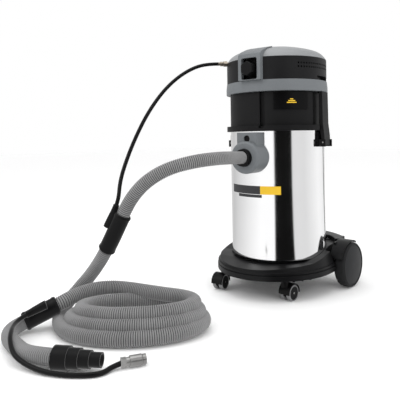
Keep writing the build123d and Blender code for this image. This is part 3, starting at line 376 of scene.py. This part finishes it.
# ---------------------------------------------------------------- air hose
AIR_UPPER_ROUTE = millimetres([
    (-140, -150.1, 775), (-161.6, -173.3, 775), (-182, -222, 763), (-200, -285, 728), (-213, -349, 675),
    (-219, -413, 602), (-220, -463, 528), (-216, -506, 457), (-203, -545, 392), (-176, -573, 337),
    (-192.3, -580.2, 301.1),
])
AIR_TAIL_ROUTE = millimetres([
    (-264.5, -782.5, 64.1), (-281.9, -806.1, 51.2), (-270, -838, 46), (-246, -862, 45), (-213, -884, 47),
    (-178, -905, 42), (-134, -919, 26), (-91, -912, 14), (-42, -899, 8), (4, -875, 6), (34, -852, 6),
    (54, -832, 6), (63, -811, 6), (59.4, -785, 8.5), (69.9, -762.7, 13),
])
AIR_STEP, AIR_SMOOTH, AIR_SIDES = 0.006, 12, 20
upper_line = even(spline_points(AIR_UPPER_ROUTE, AIR_SMOOTH), AIR_STEP)
tail_line = even(spline_points(AIR_TAIL_ROUTE, AIR_SMOOTH), AIR_STEP)
air_upper = tube("air_hose_top", upper_line, [AIR_R] * len(upper_line), AIR_SIDES, "air_hose")
air_tail = tube("air_hose_end", tail_line, [AIR_R] * len(tail_line), AIR_SIDES, "air_hose")
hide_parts("air_hose_upper")
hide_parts("air_hose_tail")
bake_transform(air_upper)
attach(air_tail, "root")
print("air hose", round(distances(upper_line)[-1], 3), round(distances(tail_line)[-1], 3))

# ---------------------------------------------------------------- rubber sleeves on the suction hose
SLEEVE_R, SLEEVE_LIP, SLEEVE_CHAMFER, SLEEVE_STEP, SLEEVE_SIDES = 0.0245, 0.0012, 0.0015, 0.004, 32
BOOT_ROOT_R, BOOT_TIP_R, BOOT_TAPER, BOOT_SIDES = 0.012, 0.0085, 1.5, 24
NEAR_BOOT_ROOT, NEAR_BOOT_LENGTH = Vector((-0.2105, -0.588, 0.262)), 0.075
FAR_BOOT_ROOT, FAR_BOOT_LENGTH = Vector((-0.2515, -0.7649, 0.0738)), 0.06


def sleeve(name, start, end):
    """A rubber sleeve along the hose between two places, with a lip at each end."""
    first, last = sorted((nearest(hose_line, start), nearest(hose_line, end)))
    line = even(hose_line[first:last + 1], SLEEVE_STEP)
    radii = [SLEEVE_R] * len(line)
    radii[0] = radii[-1] = SLEEVE_R - SLEEVE_CHAMFER
    radii[1] = radii[2] = radii[-2] = radii[-3] = SLEEVE_R + SLEEVE_LIP
    return tube(name, line, radii, SLEEVE_SIDES, "rubber")


def boot(name, line, length):
    """A tapered boot round the first stretch of a line, from the sleeve out along the air hose."""
    stretch = even(line, SLEEVE_STEP)[: round(length / SLEEVE_STEP)]
    radii = []
    for i in range(len(stretch)):
        share = (i / (len(stretch) - 1)) ** BOOT_TAPER
        radii.append(BOOT_ROOT_R + (BOOT_TIP_R - BOOT_ROOT_R) * share)
    return tube(name, stretch, radii, BOOT_SIDES, "rubber")


near_sleeve = sleeve("sleeve_near", LEAD_ROUTE[7], LEAD_ROUTE[8])
far_sleeve = sleeve("sleeve_far", TAIL_ROUTE[3], TAIL_ROUTE[4])
near_boot = boot("boot_near", [NEAR_BOOT_ROOT] + upper_line[::-1], NEAR_BOOT_LENGTH)
far_boot = boot("boot_far", [FAR_BOOT_ROOT] + tail_line, FAR_BOOT_LENGTH)
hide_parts("hose_sleeve_near")
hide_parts("hose_sleeve_far")
for made in (near_sleeve, far_sleeve, near_boot, far_boot):
    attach(made, "root")

UNMIRRORED = (
    suction_hose, air_upper, air_tail, near_sleeve, far_sleeve, near_boot, far_boot,
    NODES["tool_adapter"],
)
for made in UNMIRRORED:
    made.visible_glossy = False  # in the tank's mirror they would only add clutter

# ---------------------------------------------------------------- labels
TANK_LABEL_R, FLAP_LABEL_R, LABEL_T = 0.1632, 0.166, 0.0004
LABEL_STEP = 2  # degrees
BAND_LOW, BAND_HIGH, LINE_LOW, LINE_HIGH = 0.330, 0.357, 0.319, 0.3285
EMBLEM_AZ, EMBLEM_HALVES = 49.5, (5.5, 4.0, 1.8)  # degrees: its middle, and half of each bar
EMBLEM_LOW, EMBLEM_HIGH, EMBLEM_PITCH = 0.625, 0.6282, 0.0055


def label(name, radius, start, end, low, high, material, body):
    """A thin curved label on a round wall, between two azimuths from -Y and two heights."""
    steps = max(2, round((end - start) / LABEL_STEP))
    builder = bmesh.new()
    columns = []
    for k in range(steps + 1):
        a = math.radians(start + (end - start) * k / steps)
        outer = radius + LABEL_T
        corners = ((radius, low), (outer, low), (outer, high), (radius, high))
        columns.append([builder.verts.new((r * math.sin(a), -r * math.cos(a), z)) for r, z in corners])
    for left, right in zip(columns, columns[1:]):
        for k in range(4):
            builder.faces.new((left[k], right[k], right[(k + 1) % 4], left[(k + 1) % 4]))
    builder.faces.new(columns[0])
    builder.faces.new(columns[-1])
    made = piece_from(name, builder, material)
    for polygon in made.data.polygons:
        polygon.use_smooth = False
    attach(made, body)


for name, start, end, low, high, finish in (
    ("tank_label_dark", -34, 12, BAND_LOW, BAND_HIGH, "dark_print"),
    ("tank_label_yellow", 12.2, 36, BAND_LOW, BAND_HIGH, "yellow_print"),
    ("tank_label_line", -20, 14, LINE_LOW, LINE_HIGH, "dark_print"),
):
    label(name, TANK_LABEL_R, start, end, low, high, finish, "root")
for row, half in enumerate(EMBLEM_HALVES):
    label(
        f"flap_emblem_{row + 1}", FLAP_LABEL_R, EMBLEM_AZ - half, EMBLEM_AZ + half,
        EMBLEM_LOW + EMBLEM_PITCH * row, EMBLEM_HIGH + EMBLEM_PITCH * row, "yellow_print", "socket_flap",
    )

# ---------------------------------------------------------------- studio
FLOOR_SIZE = 30.0


def place_floor():
    """A plain pale floor."""
    builder = bmesh.new()
    bmesh.ops.create_grid(builder, x_segments=1, y_segments=1, size=FLOOR_SIZE / 2)
    mesh = bpy.data.meshes.new("floor")
    builder.to_mesh(mesh)
    builder.free()
    material, _, _, shader, _ = new_material("floor")
    shader.inputs["Base Color"].default_value = (0.99, 0.99, 0.99, 1)
    shader.inputs["Roughness"].default_value = 0.7
    shader.inputs["Specular IOR Level"].default_value = 0.1
    mesh.materials.append(material)
    floor = bpy.data.objects.new("floor", mesh)
    bpy.context.collection.objects.link(floor)


SURROUND_NEAR, SURROUND_FAR, SURROUND_SIDES = 0.26, 4.5, 72
SURROUND_LOW, SURROUND_TOP, SURROUND_GLOW = 0.002, 6.0, 1.07
SURROUND_TONES = (  # azimuth from -Y towards +X, and the brightness that the surround has there
    (-180, 0.75), (-170, 0.8), (-100, 0.55), (-54, 0.75), (-8, 1.0), (24.5, 1.0),
    (26, 0.005), (65.5, 0.006), (67.5, 0.72), (98, 0.72), (143, 0.93), (162, 0.87),
    (172, 0.85), (174, 0.06), (178, 0.06), (179.9, 0.75),
)


def place_surround():
    """A ring of floor and wall that only shows in reflections, with its own tone on each side."""
    builder = bmesh.new()
    rings = []
    turns = [math.tau * k / SURROUND_SIDES for k in range(SURROUND_SIDES)]
    for r, z in (
        (SURROUND_NEAR, SURROUND_LOW), (SURROUND_FAR, SURROUND_LOW), (SURROUND_FAR, SURROUND_TOP),
    ):
        rings.append([builder.verts.new((r * math.sin(a), -r * math.cos(a), z)) for a in turns])
    for low, high in zip(rings, rings[1:]):
        for k in range(SURROUND_SIDES):
            after = (k + 1) % SURROUND_SIDES
            builder.faces.new((low[k], low[after], high[after], high[k]))
    mesh = bpy.data.meshes.new("surround")
    builder.to_mesh(mesh)
    builder.free()
    material, nodes, links, shader, coords = new_material("surround")
    turned = nodes.new("ShaderNodeMapping")
    turned.inputs["Rotation"].default_value = (0, 0, math.radians(90))
    radial = nodes.new("ShaderNodeTexGradient")
    radial.gradient_type = "RADIAL"
    ramp_node = nodes.new("ShaderNodeValToRGB")
    ramp = ramp_node.color_ramp
    links.new(coords, turned.inputs["Vector"])
    links.new(turned.outputs["Vector"], radial.inputs["Vector"])
    links.new(radial.outputs["Fac"], ramp_node.inputs["Fac"])
    while len(ramp.elements) < len(SURROUND_TONES):
        ramp.elements.new(0.5)
    for element, (azimuth, tone) in zip(ramp.elements, SURROUND_TONES):
        element.position = (azimuth + 180) / 360
        element.color = (tone, tone, tone, 1)
    shader.inputs["Base Color"].default_value = (0, 0, 0, 1)
    shader.inputs["Specular IOR Level"].default_value = 0.0
    shader.inputs["Emission Strength"].default_value = SURROUND_GLOW
    links.new(ramp_node.outputs["Color"], shader.inputs["Emission Color"])
    mesh.materials.append(material)
    surround = bpy.data.objects.new("surround", mesh)
    bpy.context.collection.objects.link(surround)
    surround.visible_camera = surround.visible_diffuse = surround.visible_shadow = False


def area_light(name, at, aim, size, power):
    """A square soft light that looks at a point."""
    data = bpy.data.lights.new(name, "AREA")
    data.shape, data.size, data.energy = "SQUARE", size, power
    light = bpy.data.objects.new(name, data)
    light.location = at
    light.rotation_euler = (Vector(aim) - Vector(at)).to_track_quat("-Z", "Y").to_euler()
    bpy.context.collection.objects.link(light)


place_floor()
place_surround()
area_light("key", (-1.6, -2.6, 2.6), (0, -0.2, 0.4), 1.6, 22)
area_light("fill", (2.6, -1.2, 1.8), (0, 0, 0.4), 1.4, 8)
area_light("top", (0, -0.4, 3.2), (0, -0.2, 0), 2.4, 25)

world = bpy.data.worlds.new("studio")
world.use_nodes = True
world.node_tree.nodes["Background"].inputs["Color"].default_value = (1, 1, 1, 1)
world.node_tree.nodes["Background"].inputs["Strength"].default_value = 1.0
bpy.context.scene.world = world
bpy.context.scene.view_settings.view_transform = "Standard"
